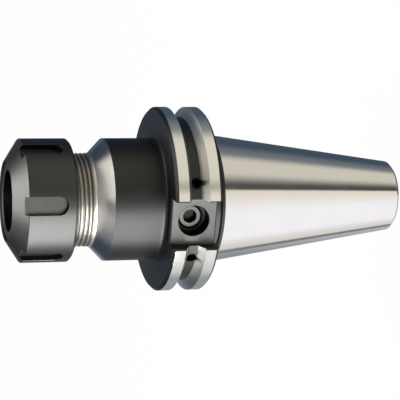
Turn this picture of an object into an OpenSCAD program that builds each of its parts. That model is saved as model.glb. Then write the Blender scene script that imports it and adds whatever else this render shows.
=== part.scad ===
// Steep-taper holder for a 26 mm spring collet, with its clamping nut.
// The axis of the holder is Z. The gauge plane of the taper is Z = 0 and the nut is at the top.

/* [Taper] */
// Diameter of the taper at the gauge plane
gauge_d = 44.45; // [43.5:0.05:45]
// Length of the taper below the gauge plane
taper_len = 68.4; // [60:0.1:80]
// Loss of diameter for each millimetre along the taper
taper_ratio = 0.291667; // [0.25:0.000001:0.32]
// Chamfer at the small end of the taper
taper_end_chamfer = 1; // [0.3:0.1:1.5]

/* [Flange] */
// Outer diameter of the flange
flange_d = 63.55; // [61:0.05:70]
// Distance from the gauge plane to the back face of the flange
flange_gap = 3.2; // [2.5:0.1:6]
// Width of the flange along the axis
flange_w = 15.9; // [14:0.1:20]
// Chamfer on the two rims of the flange
rim_chamfer = 0.9; // [0.2:0.1:1.4]
// Diameter of the relief between the taper and the flange
relief_d = 43.2; // [41:0.1:43.4]
// Length of the relief
relief_len = 2.3; // [1.2:0.1:2.4]
// Distance from the gauge plane to the middle of the V-groove
groove_z = 11.1; // [10.2:0.1:12]
// Diameter at the floor of the V-groove
groove_floor_d = 56.25; // [54:0.05:59]
// Width of the floor of the V-groove
groove_floor_w = 2.86; // [1.5:0.01:4]
// Angle between the two walls of the V-groove, in degrees
groove_angle = 60; // [50:1:65]

/* [Drive slots] */
// Width of the two drive slots
slot_w = 16.1; // [14:0.1:18]
// Distance from the axis to the floor of the near slot
near_slot_floor = 25; // [22.8:0.1:26.5]
// Distance from the axis to the floor of the far slot
far_slot_floor = 22.8; // [22.4:0.1:25]
// Radius in the two floor corners of a slot
slot_corner_r = 1.2; // [0.4:0.1:2]
// Chamfer where a slot breaks through the rim
slot_edge_chamfer = 0.6; // [0.2:0.1:1]
// Chamfer at the two ends of a slot's floor
slot_end_chamfer = 0.5; // [0.2:0.1:0.6]

/* [Plug pockets and plugs] */
// Diameter of the round pocket in each slot floor
pocket_d = 10.6; // [9.4:0.1:12]
// Depth of the round pocket
pocket_depth = 4.6; // [3:0.1:5]
// Outer diameter of a plug's thread
plug_d = 8; // [6:0.1:8.6]
// Length of a plug
plug_len = 5; // [4:0.1:5.6]
// Depth of a plug's top below the floor of its pocket
plug_sink = 0.4; // [0.1:0.1:1]
// Width across the flats of a plug's hexagon socket
plug_hex = 4; // [2.5:0.1:4.4]
// Depth of a plug's hexagon socket
plug_hex_depth = 2.8; // [1.5:0.1:3.2]
// Chamfer at both ends of a plug
plug_chamfer = 0.5; // [0.2:0.1:0.8]
// Diameter of the channel from a plug to the middle bore
channel_d = 5; // [3:0.1:5.6]

/* [Balancing holes] */
// Diameter of the two balancing holes in the V-groove
balance_d = 4.2; // [2.5:0.1:5]
// Depth of the balancing holes
balance_depth = 6; // [2:0.1:10]
// Angle of each balancing hole from the middle of the near slot, in degrees
balance_angle = 27.7; // [26:0.1:40]

/* [Body] */
// Diameter of the body between the flange and the thread
body_d = 42; // [38:0.1:44]
// Length of the body cylinder in front of the flange
body_len = 17.8; // [14:0.1:19]
// Fillet between the body and the flange
body_fillet = 1.2; // [0.4:0.1:1.6]
// Length of the cone between the body and the thread
cone_len = 4.8; // [3:0.1:5.5]
// Outer diameter of the thread for the nut
thread_d = 32; // [31.2:0.1:32.8]
// Chamfer at the start of the thread
thread_chamfer = 1; // [0.4:0.1:1.4]

/* [Collet socket and bores] */
// Diameter of the collet socket at its mouth
socket_d = 26; // [25:0.1:27.6]
// Half angle of the collet socket, in degrees
socket_half_angle = 8; // [7:0.1:8.5]
// Depth of the collet socket
socket_depth = 26; // [22:0.1:27]
// Diameter of the bore behind the socket that clears the tool's shank
shank_bore_d = 18; // [16:0.1:18.4]
// Distance from the gauge plane down to the end of the shank bore
shank_bore_end = 12; // [4:0.5:20]
// Diameter of the coolant bore through the taper
coolant_bore_d = 10; // [6:0.1:12]
// Half angle of the drilled cones between the bores, in degrees
drill_half_angle = 59; // [45:1:65]

/* [Pull-stud bore] */
// Diameter of the pilot bore at the small end
pilot_d = 17; // [15:0.1:18.4]
// Depth of the pilot bore
pilot_depth = 7; // [4:0.1:10]
// Inner diameter of the thread behind the pilot bore
stud_thread_d = 13.84; // [12.4:0.01:14.6]
// Depth of that thread from the small end
stud_thread_depth = 34; // [24:0.1:40]
// Chamfer at the mouth of the pilot bore
pilot_chamfer = 0.7; // [0.2:0.1:0.9]

/* [Clamping nut] */
// Distance from the gauge plane to the front of the nut
gauge_to_face = 70; // [68:0.5:90]
// Outer diameter of the nut
nut_d = 42; // [40:0.1:46]
// Length of the nut
nut_len = 20.8; // [18:0.1:22]
// Chamfer at the back edge of the nut
nut_back_chamfer = 0.8; // [0.3:0.1:1.4]
// Length of the nut's conical nose
nut_nose_len = 4.5; // [3.5:0.1:5.5]
// Diameter of the sharp front edge of the nut
nut_ridge_d = 28; // [27.6:0.1:30]
// Width of the flat front edge
nut_ridge_w = 0.35; // [0.1:0.05:0.5]
// Distance that the nut's front stands beyond the end of the holder
nut_stand_off = 9; // [8.4:0.1:10]
// Number of wrench slots round the nut
wrench_slots = 6; // [4, 6, 8]
// Width of a wrench slot
wrench_slot_w = 6; // [4:0.1:7]
// Depth of a wrench slot
wrench_slot_depth = 2; // [1:0.1:2.4]
// Distance from the back of the nut to the round end of a wrench slot
wrench_slot_stop = 3.4; // [2:0.1:8]
// Turn of the first wrench slot from the near drive slot, in degrees
wrench_slot_turn = 12.1; // [0:0.1:59]

/* [Collet ring] */
// Outer diameter of the ring's shoulder
ring_d = 28.8; // [28.4:0.1:29.6]
// Length of the ring's shoulder
ring_shoulder_len = 2.9; // [2.4:0.1:3.1]
// Outer diameter of the ring's sleeve in the nut's mouth
ring_sleeve_d = 26.4; // [26:0.1:26.6]
// Depth of the ring's front below the front of the nut
ring_recess = 0.7; // [0.4:0.1:1]
// Diameter of the ring's mouth
ring_mouth_d = 20.8; // [20:0.1:21.2]
// Length of the straight part of the ring's mouth
ring_mouth_len = 0.4; // [0.2:0.1:0.8]
// Half angle of the collet seat, in degrees
seat_half_angle = 30; // [28:1:31]
// Diameter of the groove behind the seat
ring_groove_d = 25.6; // [25.2:0.1:26]
// Width of the groove behind the seat
ring_groove_w = 1.4; // [1:0.1:1.6]
// Thickness of the lip that pulls the collet out
ring_lip = 1.1; // [0.8:0.1:1.2]
// Diameter of the lip's off-centre opening
ring_lip_d = 23.2; // [22.6:0.1:24]
// Distance of that opening from the axis
ring_lip_offset = 0.6; // [0.2:0.1:0.8]

/* [Retaining wire] */
// Thickness of the wire
wire_d = 1; // [0.8:0.05:1.1]
// Distance from the back of the ring to the middle of the wire
wire_pos = 1.2; // [1:0.1:1.5]
// Opening between the two ends of the wire, in degrees
wire_gap_angle = 14; // [6:1:40]

/* [Fits] */
// Gap between the holder's thread and the nut, on the radius
thread_clearance = 0.05; // [0.02:0.01:0.1]
// Gap between the ring and the nut, on the radius and along the axis
ring_clearance = 0.08; // [0.03:0.01:0.1]
// Gap round the retaining wire
wire_clearance = 0.06; // [0.03:0.01:0.1]
// Gap round the plugs, on the radius
plug_clearance = 0.03; // [0.01:0.01:0.06]
// Distance that the nut can still be screwed on without a collet
closing_travel = 2; // [1:0.1:2.4]
// Gap that is left between the holder and the ring when the nut is closed
closing_gap = 0.3; // [0.2:0.05:0.6]

/* [Hidden] */
$fn = 128;

// Length by which a cut runs past the surface that it opens
over = 1;
// Radius of the taper at height z
function taper_r(z) = gauge_d / 2 + z * taper_ratio / 2;
// Height of a drilled cone between two radii
function drill_h(wide, narrow) = (wide - narrow) / tan(drill_half_angle);

// Heights along the axis, from the small end up
end_z = -taper_len;
relief_z = flange_gap - relief_len;
flange_top_z = flange_gap + flange_w;
body_top_z = flange_top_z + body_len;
thread_z = body_top_z + cone_len;
nose_z = gauge_to_face - nut_stand_off;
nut_back_z = gauge_to_face - nut_len;

// The V-groove
groove_depth = (flange_d - groove_floor_d) / 2;
groove_flare = groove_depth * tan(groove_angle / 2);

// The bores of the holder
socket_end_z = nose_z - socket_depth;
socket_end_r = socket_d / 2 - socket_depth * tan(socket_half_angle);
shank_end_z = -shank_bore_end;
stud_end_z = end_z + stud_thread_depth;
pilot_end_z = end_z + pilot_depth;

// The ring and its seat in the nut
ring_back_z = nose_z + closing_travel + closing_gap;
ring_shoulder_z = ring_back_z + ring_shoulder_len;
ring_front_z = gauge_to_face - ring_recess;
ring_mouth_z = ring_front_z - ring_mouth_len;
seat_z = ring_back_z + ring_lip + ring_groove_w;
seat_r = ring_mouth_d / 2 + (ring_mouth_z - seat_z) * tan(seat_half_angle);
nut_shoulder_z = ring_shoulder_z + ring_clearance;
nut_mouth_r = ring_sleeve_d / 2 + ring_clearance;
wire_r = ring_d / 2 + ring_clearance / 2;
wire_z = ring_back_z + wire_pos;

// Outline of the holder from the axis outwards, before its bores and cuts
module holder_outline() {
    end_r = taper_r(end_z);
    rim_r = flange_d / 2;
    polygon([
        [0, end_z],
        [end_r - taper_end_chamfer, end_z],
        [taper_r(end_z + taper_end_chamfer), end_z + taper_end_chamfer],
        [taper_r(relief_z - (gauge_d - relief_d) / 2), relief_z - (gauge_d - relief_d) / 2],
        [relief_d / 2, relief_z],
        [relief_d / 2, flange_gap],
        [rim_r - rim_chamfer, flange_gap],
        [rim_r, flange_gap + rim_chamfer],
        [rim_r, groove_z - groove_floor_w / 2 - groove_flare],
        [groove_floor_d / 2, groove_z - groove_floor_w / 2],
        [groove_floor_d / 2, groove_z + groove_floor_w / 2],
        [rim_r, groove_z + groove_floor_w / 2 + groove_flare],
        [rim_r, flange_top_z - rim_chamfer],
        [rim_r - rim_chamfer, flange_top_z],
        [body_d / 2, flange_top_z],
        [body_d / 2, body_top_z],
        [thread_d / 2, thread_z],
        [thread_d / 2, nose_z - thread_chamfer],
        [thread_d / 2 - thread_chamfer, nose_z],
        [0, nose_z]
    ]);
    translate([body_d / 2, flange_top_z]) fillet_section(body_fillet);
}

// Section of a fillet in the corner at the origin
module fillet_section(r) {
    difference() {
        square(r);
        translate([r, r]) circle(r);
    }
}

// Section of the holder's bores, from the mouth of the socket down to the small end
module bore_outline() {
    shank_r = shank_bore_d / 2;
    coolant_r = coolant_bore_d / 2;
    stud_r = stud_thread_d / 2;
    pilot_r = pilot_d / 2;
    flare_r = socket_d / 2 + over * tan(socket_half_angle);
    polygon([
        [0, nose_z + over],
        [flare_r, nose_z + over],
        [socket_end_r, socket_end_z],
        [shank_r, socket_end_z],
        [shank_r, shank_end_z],
        [coolant_r, shank_end_z - drill_h(shank_r, coolant_r)],
        [coolant_r, stud_end_z + drill_h(stud_r, coolant_r)],
        [stud_r, stud_end_z],
        [stud_r, pilot_end_z],
        [pilot_r, pilot_end_z],
        [pilot_r, end_z + pilot_chamfer],
        [pilot_r + pilot_chamfer + over, end_z - over],
        [0, end_z - over]
    ]);
}

// Section across a drive slot, with its floor on the X axis and its opening upwards
module slot_section() {
    translate([-slot_w / 2, slot_corner_r]) square([slot_w, flange_d / 2]);
    translate([slot_corner_r - slot_w / 2, 0]) square([slot_w - 2 * slot_corner_r, 2 * slot_corner_r]);
    for (side = [-1, 1])
        translate([side * (slot_w / 2 - slot_corner_r), slot_corner_r]) circle(slot_corner_r);
}

// Drive slot towards -Y with its pocket, plug thread and channel
module drive_slot(floor_at) {
    edge_y = sqrt(pow(flange_d / 2, 2) - pow(slot_w / 2, 2));
    translate([0, 0, flange_gap - over]) linear_extrude(flange_w + 2 * over) {
        translate([0, -floor_at]) mirror([0, 1]) slot_section();
        for (side = [-1, 1])
            translate([side * slot_w / 2, -edge_y]) rotate(45) square(slot_edge_chamfer * sqrt(2), center = true);
    }
    for (end = [flange_gap, flange_top_z])
        translate([0, -floor_at, end]) rotate([45, 0, 0])
            cube([slot_w, slot_end_chamfer * sqrt(2), slot_end_chamfer * sqrt(2)], center = true);
    translate([0, -floor_at, groove_z]) rotate([-90, 0, 0]) {
        translate([0, 0, -over]) cylinder(d = pocket_d, h = pocket_depth + over);
        cylinder(r = plug_d / 2 + plug_clearance, h = pocket_depth + plug_sink + plug_len);
        cylinder(d = channel_d, h = floor_at);
    }
}

// Blind hole in the floor of the V-groove, towards -Y
module balancing_hole() {
    hole_end = groove_floor_d / 2 - balance_depth;
    translate([0, -hole_end, groove_z]) rotate([90, 0, 0]) cylinder(d = balance_d, h = balance_depth + over);
}

// The holder: taper, flange, body and thread in one piece
module holder_body() {
    color("silver") difference() {
        rotate_extrude() holder_outline();
        rotate_extrude() bore_outline();
        drive_slot(near_slot_floor);
        rotate(180) drive_slot(far_slot_floor);
        for (side = [-1, 1]) rotate(side * balance_angle) balancing_hole();
    }
}

// Set screw with its top at the origin and its length along +Z
module plug() {
    plug_r = plug_d / 2;
    difference() {
        rotate_extrude() polygon([
            [0, 0],
            [plug_r - plug_chamfer, 0],
            [plug_r, plug_chamfer],
            [plug_r, plug_len - plug_chamfer],
            [plug_r - plug_chamfer, plug_len],
            [0, plug_len]
        ]);
        translate([0, 0, -over]) cylinder(d = plug_hex / cos(30), h = plug_hex_depth + over, $fn = 6);
    }
}

// The two set screws that close the channels behind the slot floors
module coolant_plugs() {
    color("dimgray") {
        place_plug(near_slot_floor) plug();
        rotate(180) place_plug(far_slot_floor) plug();
    }
}

// Moves a plug to its hole in the slot towards -Y
module place_plug(floor_at) {
    translate([0, pocket_depth + plug_sink - floor_at, groove_z]) rotate([-90, 0, 0]) children();
}

// Section of the nut, open at its mouth
module nut_outline() {
    nut_r = nut_d / 2;
    ridge_r = nut_ridge_d / 2;
    bore_r = thread_d / 2 + thread_clearance;
    seat_bore_r = ring_d / 2 + ring_clearance;
    difference() {
        polygon([
            [bore_r + thread_chamfer, nut_back_z],
            [nut_r - nut_back_chamfer, nut_back_z],
            [nut_r, nut_back_z + nut_back_chamfer],
            [nut_r, gauge_to_face - nut_nose_len],
            [ridge_r, gauge_to_face],
            [ridge_r - nut_ridge_w, gauge_to_face],
            [nut_mouth_r, ring_front_z],
            [nut_mouth_r, nut_shoulder_z],
            [seat_bore_r, nut_shoulder_z],
            [seat_bore_r, ring_back_z],
            [bore_r, ring_back_z],
            [bore_r, nut_back_z + thread_chamfer]
        ]);
        wire_groove_section();
    }
}

// Section of the groove that the retaining wire lies in
module wire_groove_section() {
    translate([wire_r, wire_z]) circle(wire_d / 2 + wire_clearance);
}

// Wrench slot in the nut towards -Y, with a round end at the back
module wrench_slot() {
    floor_r = nut_d / 2 - wrench_slot_depth;
    end_r = wrench_slot_w / 2;
    translate([0, -floor_r, nut_back_z + wrench_slot_stop + end_r]) rotate([90, 0, 0]) linear_extrude(nut_d / 2) {
        circle(end_r);
        translate([-end_r, 0]) square([wrench_slot_w, nut_len]);
    }
}

// The slotted clamping nut
module clamping_nut() {
    color("#34363b") difference() {
        rotate_extrude() nut_outline();
        for (i = [0:wrench_slots - 1]) rotate(wrench_slot_turn + i * 360 / wrench_slots) wrench_slot();
    }
}

// Section of the collet ring, without the opening of its lip
module ring_outline() {
    difference() {
        polygon([
            [ring_lip_d / 2 - ring_lip_offset - over, ring_back_z],
            [ring_d / 2, ring_back_z],
            [ring_d / 2, ring_shoulder_z],
            [ring_sleeve_d / 2, ring_shoulder_z],
            [ring_sleeve_d / 2, ring_front_z],
            [ring_mouth_d / 2, ring_front_z],
            [ring_mouth_d / 2, ring_mouth_z],
            [seat_r, seat_z],
            [ring_groove_d / 2, seat_z],
            [ring_groove_d / 2, ring_back_z + ring_lip],
            [ring_lip_d / 2 - ring_lip_offset - over, ring_back_z + ring_lip]
        ]);
        wire_groove_section();
    }
}

// The ring that presses on the collet and pulls it out again
module collet_ring() {
    color("gray") difference() {
        rotate_extrude() ring_outline();
        translate([ring_lip_offset, 0, ring_back_z - over]) cylinder(d = ring_lip_d, h = over + ring_lip + ring_groove_w / 2);
    }
}

// The open wire that keeps the collet ring in the nut
module retaining_wire() {
    color("lightgray") translate([0, 0, wire_z]) rotate_extrude(angle = 360 - wire_gap_angle)
        translate([wire_r, 0]) circle(d = wire_d);
}

holder_body();
coolant_plugs();
clamping_nut();
collet_ring();
retaining_wire();
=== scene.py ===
"""Looks of a collet chuck holder: its turned, milled and ground pieces, the light and the camera."""
import math

import bmesh
import bpy
from bpy.props import FloatProperty, FloatVectorProperty, IntProperty, PointerProperty
from bpy.types import Operator, Panel, PropertyGroup
from mathutils import Matrix, Vector


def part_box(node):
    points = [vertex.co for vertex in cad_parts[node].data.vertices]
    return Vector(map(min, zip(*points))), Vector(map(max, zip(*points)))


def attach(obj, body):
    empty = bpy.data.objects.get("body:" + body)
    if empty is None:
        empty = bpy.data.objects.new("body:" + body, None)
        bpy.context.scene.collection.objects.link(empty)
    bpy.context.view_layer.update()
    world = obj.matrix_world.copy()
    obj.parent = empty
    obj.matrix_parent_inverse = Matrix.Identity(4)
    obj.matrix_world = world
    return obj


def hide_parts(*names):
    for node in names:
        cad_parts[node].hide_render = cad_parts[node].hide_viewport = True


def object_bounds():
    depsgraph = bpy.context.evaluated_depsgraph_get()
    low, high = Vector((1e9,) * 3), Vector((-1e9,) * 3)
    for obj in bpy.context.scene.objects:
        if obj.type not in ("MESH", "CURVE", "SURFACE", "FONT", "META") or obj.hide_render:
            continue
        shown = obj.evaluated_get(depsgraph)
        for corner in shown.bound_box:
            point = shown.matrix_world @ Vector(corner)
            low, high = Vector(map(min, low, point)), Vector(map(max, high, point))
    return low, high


bl_info = {
    "name": "Collet chuck holder",
    "version": (1, 0, 0),
    "blender": (4, 5, 0),
    "location": "3D View > Sidebar > Chuck",
    "description": "Builds the dressed collet chuck holder over its CAD frame",
    "category": "Object",
}

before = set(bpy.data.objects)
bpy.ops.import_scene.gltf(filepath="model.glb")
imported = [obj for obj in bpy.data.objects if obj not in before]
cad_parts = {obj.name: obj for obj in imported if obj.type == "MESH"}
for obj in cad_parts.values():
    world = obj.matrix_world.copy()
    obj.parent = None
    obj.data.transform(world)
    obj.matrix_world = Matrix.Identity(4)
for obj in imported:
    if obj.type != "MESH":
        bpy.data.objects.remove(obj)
CAD_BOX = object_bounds()
HOLDER_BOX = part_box("holder_body")
NUT_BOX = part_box("clamping_nut")

MM = 0.001
SEGMENTS = 216
# Vertices that are closer than this, in metres, are one
MERGE_WITHIN = 2e-7
WHITE = (1, 1, 1)

# Direction from the axis towards the camera, and the direction that is up in its picture
CAMERA_TURN = math.radians(17.6)
TOWARDS = Vector((math.sin(CAMERA_TURN), -math.cos(CAMERA_TURN), 0))
PICTURE_UP = Vector((math.cos(CAMERA_TURN), math.sin(CAMERA_TURN), 0))
AXIS = Vector((0, 0, 1))
# Height on the axis that the camera aims at, in metres, and the shift of its picture
CAMERA_AIM_Z, PICTURE_SHIFT = 0.00187, -0.0049

# Millimetres from here on, as in the part's source: radii, and heights over the gauge plane.
# Taper, relief behind the flange, and flange with its V-groove
TAPER_SLOPE, GAUGE_R, TAPER_END = 0.291667 / 2, 22.225, -68.4
# The taper is blackened from the first height on this line up to the flange
BLACK_TAPER_FROM, RELIEF_R = -0.65, 21.6
FLANGE_BACK, FLANGE_FRONT, RIM_BREAK = 3.2, 19.1, 0.9
GROOVE_Z, GROOVE_FLOOR_R, GROOVE_HALF, GROOVE_REACH = 11.1, 28.125, 1.43, 3.9
# Body, cone and thread for the nut. A tooth's foot is sunk into the wall that carries it.
BODY_TOP, THREAD_START, NOSE_Z = 36.9, 41.7, 61.0
THREAD_PITCH, THREAD_DEPTH, THREAD_FOOT = 1.5, 0.92, THREAD_START + 1.1
TOOTH_SINK = 0.12
# Collet socket, shank bore, coolant bore, and the pull stud's thread and pilot. Bores end inside BORES_R.
SOCKET_MOUTH_R, SOCKET_END_R, SOCKET_END_Z = 12.93, 9.346, 35.0
SHANK_R, SHANK_END_Z, COOLANT_R, BORES_R = 9.0, -12.0, 5.0, 12.0
STUD_R, STUD_CORE_R, STUD_END_Z, STUD_PITCH = 8.0, 6.92, -34.4, 2.0
PILOT_R, PILOT_END_Z = 8.5, -61.4
# Drive slots, the near one first, with their pockets, plug holes and coolant channels
SLOT_FLOORS, SLOT_TURNS = (25.0, 22.8), (0.0, math.pi)
SLOT_HALF, SLOT_CORNER, SLOT_BREAK, SLOT_END_BREAK = 8.05, 1.2, 0.6, 0.5
POCKET_R, POCKET_DEPTH, PLUG_HOLE_R, CHANNEL_R = 5.3, 4.6, 4.03, 2.5
BALANCE_R, BALANCE_DEPTH = 1.75, 6.0
# Plugs, sunk under the pocket's floor, with half the width of their hexagon and its depth
PLUG_R, PLUG_SINK, PLUG_LEN, HEXAGON_HALF, HEXAGON_DEPTH = 4.0, 0.4, 5.0, 2.0, 2.8
# Inside of the nut, collet ring with its seat and off-centre lip, and retaining wire
NUT_BORE_R, NUT_ROOM_R, NUT_MOUTH_R, NUT_FACE_R = 16.05, 14.48, 13.28, 14.0
WRENCH_SLOT_FOOT, WRENCH_SLOT_BREAK = 3.4, 0.13
RING_BACK, RING_SHOULDER, RING_FRONT = 63.3, 66.2, 69.3
RING_R, RING_HEAD_R, RING_MOUTH_R, RING_ROOM_R, RING_FOOT_R = 14.4, 13.2, 10.4, 12.8, 10.0
SEAT_END_Z, SEAT_END_R, LIP_R, LIP_OFFSET = 65.8, 12.188, 11.6, 0.6
WIRE_R, WIRE_Z, WIRE_GROOVE_R, WIRE_OPENING = 14.44, 64.5, 0.56, math.radians(14)


def size_prop(name, description, default):
    """Length in metres."""
    settings = {"min": 0.0, "unit": "LENGTH", "precision": 5}
    return FloatProperty(name=name, description=description, default=default, **settings)


def turn_prop(name, description, degrees):
    """Angle."""
    turn = math.radians(degrees)
    return FloatProperty(name=name, description=description, default=turn, unit="ROTATION")


def colour_prop(name, description, default):
    """Colour of a finish."""
    settings = {"size": 3, "min": 0.0, "max": 1.0, "subtype": "COLOR"}
    return FloatVectorProperty(name=name, description=description, default=default, **settings)


class CHUCK_PG_holder(PropertyGroup):
    """Sizes of the holder"""

    flange_radius: size_prop("Flange radius", "Radius of the two rims of the flange", HOLDER_BOX[1][0])
    body_radius: size_prop("Body radius", "Radius of the body between flange and cone", 0.021)
    edge_break: size_prop("Edge break", "Rounding of the turned edges", 0.00022)
    thread_radius: size_prop("Thread radius", "Outer radius of the thread for the nut", 0.016)
    balance_turn: turn_prop("Balancing hole turn", "Turn of a balancing hole from the near slot", 27.7)


class CHUCK_PG_nut(PropertyGroup):
    """Sizes of the nut and its wire"""

    radius: size_prop("Nut radius", "Outer radius of the nut", NUT_BOX[1][0])
    back: size_prop("Back of the nut", "Height of the nut's back face over the gauge plane", NUT_BOX[0][2])
    front: size_prop("Front of the nut", "Height of its front edge over the gauge plane", NUT_BOX[1][2])
    slots: IntProperty(name="Wrench slots", description="Slots round the nut", default=6, min=2, max=12)
    slot_width: size_prop("Wrench slot width", "Width of a wrench slot", 0.006)
    slot_floor: size_prop("Wrench slot floor", "Distance from the axis to the floor of a slot", 0.019)
    slot_turn: turn_prop("Wrench slot turn", "Turn of the first wrench slot from the near drive slot", 12.1)
    wire_thickness: size_prop("Wire thickness", "Thickness of the retaining wire", 0.001)


class CHUCK_PG_finish(PropertyGroup):
    """Colours of the finishes"""

    ground: colour_prop("Ground steel", "Colour of the ground and turned steel", (0.80, 0.79, 0.78))
    rim: colour_prop("Rim steel", "Colour of the ground rims and groove walls", (0.92, 0.91, 0.87))
    thread: colour_prop("Thread steel", "Colour of the thread for the nut", (0.74, 0.71, 0.65))
    black: colour_prop("Blackened steel", "Colour of the blackened holder", (0.062, 0.064, 0.065))
    nut: colour_prop("Blackened nut", "Colour of the blackened nut", (0.090, 0.092, 0.091))
    slot: colour_prop("Blackened slot", "Colour of the milled slots", (0.105, 0.107, 0.102))
    # Painted shade: a darker black for the insides of pockets, holes, hexagon sockets and wrench slots
    hole: colour_prop("Blackened hole", "Colour inside pockets and holes", (0.030, 0.031, 0.030))
    plug: colour_prop("Plug steel", "Colour of the set screws", (0.094, 0.093, 0.088))
    ring: colour_prop("Ring steel", "Colour of the collet ring", (0.100, 0.103, 0.106))
    wire: colour_prop("Spring wire", "Colour of the retaining wire", (0.52, 0.51, 0.49))


class CHUCK_PG_stage(PropertyGroup):
    """Camera and floor"""

    lens: FloatProperty(name="Lens", description="Focal length", default=134.96, min=20, unit="CAMERA")
    distance: size_prop("Camera distance", "Distance from the camera to the object's axis", 0.5235)
    elevation: turn_prop("Camera elevation", "Angle of the camera over the gauge plane", 16.39)
    roll: turn_prop("Camera roll", "Tilt of the object's axis in the picture", 0.842)
    floor_radius: size_prop("Floor radius", "Radius of the pale floor", 2.5)


GROUPS = {
    "chuck_holder": CHUCK_PG_holder,
    "chuck_nut": CHUCK_PG_nut,
    "chuck_finish": CHUCK_PG_finish,
    "chuck_stage": CHUCK_PG_stage,
}


class Signal:
    """A node's output socket that adds Math nodes when it is used in arithmetic."""

    def __init__(self, tree, socket=None):
        self.tree = tree
        self.socket = socket

    def node(self, kind, sockets=(), out=0, **settings):
        """Adds a node, sets it up, fills or links its inputs and gives one of its outputs, if any.

        A plain colour has three parts.
        """
        made = self.tree.nodes.new(kind)
        for key, value in settings.items():
            setattr(made, key, value)
        for key, value in dict(sockets).items():
            if isinstance(value, Signal):
                self.tree.links.new(value.socket, made.inputs[key])
            elif made.inputs[key].type == "RGBA":
                made.inputs[key].default_value = (*value, 1.0)
            else:
                made.inputs[key].default_value = value
        return Signal(self.tree, made.outputs[out]) if len(made.outputs) else None

    def also(self, out):
        """Another output of the same node."""
        return Signal(self.tree, self.socket.node.outputs[out])

    def math(self, operation, first, second=0.0):
        """Math node on one or two values."""
        return self.node("ShaderNodeMath", {0: first, 1: second}, operation=operation)

    def __add__(self, other):
        return self.math("ADD", self, other)

    def __sub__(self, other):
        return self.math("SUBTRACT", self, other)

    def __rsub__(self, other):
        return self.math("SUBTRACT", other, self)

    def __mul__(self, other):
        return self.math("MULTIPLY", self, other)

    def __truediv__(self, other):
        return self.math("DIVIDE", self, other)

    def __rtruediv__(self, other):
        return self.math("DIVIDE", other, self)

    __radd__ = __add__
    __rmul__ = __mul__

    def rise(self, low, high):
        """Goes smoothly from 0 to 1 while this value goes from low to high."""
        sockets = {0: self, 1: low, 2: high}
        return self.node("ShaderNodeMapRange", sockets, interpolation_type="SMOOTHSTEP")

    def blend(self, first, second):
        """Colour that goes from first to second with this value."""
        sockets = {0: self, 6: first, 7: second}
        return self.node("ShaderNodeMix", sockets, out=2, data_type="RGBA", clamp_factor=True)


def toned(colour, level):
    """Colour at a share of its level."""
    return [part * level for part in colour]


def new_material(name):
    """Empty material and its node maker."""
    made = bpy.data.materials.new(name + "_finish")
    made.use_nodes = True
    made.node_tree.nodes.clear()
    return made, Signal(made.node_tree)


def turned_metal(name):
    """New material, its node maker, object coordinates, distance from the axis and height, in metres."""
    made, maker = new_material(name)
    place = maker.node("ShaderNodeTexCoord", out="Object")
    x = maker.node("ShaderNodeSeparateXYZ", {0: place})
    y, z = x.also(1), x.also(2)
    return made, maker, place, maker.math("SQRT", x * x + y * y), z


def noise(maker, place, scale, detail=3.0, roughness=0.55):
    """Grey noise from 0 to 1."""
    sockets = {"Vector": place, "Scale": scale, "Detail": detail, "Roughness": roughness}
    return maker.node("ShaderNodeTexNoise", sockets)


def stretched(maker, place, factors):
    """Place multiplied along its three axes."""
    return maker.node("ShaderNodeVectorMath", {0: place, 1: factors}, operation="MULTIPLY")


def close_material(maker, colour, rough, height, strength, across=0.0):
    """Metal with a bump. It is rougher across the turned rings than along them by the share across."""
    sockets = {"Strength": strength, "Distance": 0.00002, "Height": height}
    bump = maker.node("ShaderNodeBump", sockets)
    sockets = {"Base Color": colour, "Roughness": rough, "Metallic": 1.0, "Normal": bump}
    sockets.update({"Anisotropic": across, "Anisotropic Rotation": 0.25})
    shader = maker.node("ShaderNodeBsdfPrincipled", sockets)
    maker.node("ShaderNodeOutputMaterial", {"Surface": shader})


def turned_lines(maker, radius, z, per_mm, detail=4.0, roughness=0.7):
    """Fine rings round the axis, as a grinding wheel or a lathe tool leaves them."""
    rings = maker.node("ShaderNodeCombineXYZ", {0: radius * (1 / MM), 2: z * (1 / MM)})
    return noise(maker, rings, per_mm, detail, roughness)


def ground_steel(name, colour, rough, line_depth, across):
    """Fine rings and a faint cloud, as on steel from a grinding wheel."""
    made, maker, place, radius, z = turned_metal(name)
    lines = turned_lines(maker, radius, z, 3.2)
    cloud = noise(maker, place, 95.0, 4.0)
    smear = noise(maker, stretched(maker, place, (1.0, 1.0, 0.25)), 420.0, 5.0, 0.65)
    tone = cloud.rise(0.35, 0.70) * 0.6 + lines.rise(0.3, 0.7) * 0.4
    base = tone.blend(toned(colour, 0.96), colour)
    shine = rough + (lines - 0.5) * 0.07 + smear.rise(0.45, 0.75) * 0.03 + cloud.rise(0.5, 0.8) * 0.02
    close_material(maker, base, shine, lines, line_depth, across)
    return made


def blackened_steel(name, colour, rough):
    """Turned rings under a matt black coat with a fine grain."""
    made, maker, place, radius, z = turned_metal(name)
    lines = turned_lines(maker, radius, z, 2.2)
    cloud = noise(maker, place, 70.0, 4.0)
    grain = noise(maker, place, 2600.0, 3.0)
    tone = cloud.rise(0.3, 0.75) * 0.7 + grain.rise(0.35, 0.7) * 0.3
    base = tone.blend(toned(colour, 0.88), toned(colour, 1.06))
    shine = rough + (lines - 0.5) * 0.10 + (grain - 0.5) * 0.06 + cloud.rise(0.45, 0.75) * 0.03
    close_material(maker, base, shine, lines * 0.7 + grain * 0.3, 0.22, 0.35)
    return made


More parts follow.
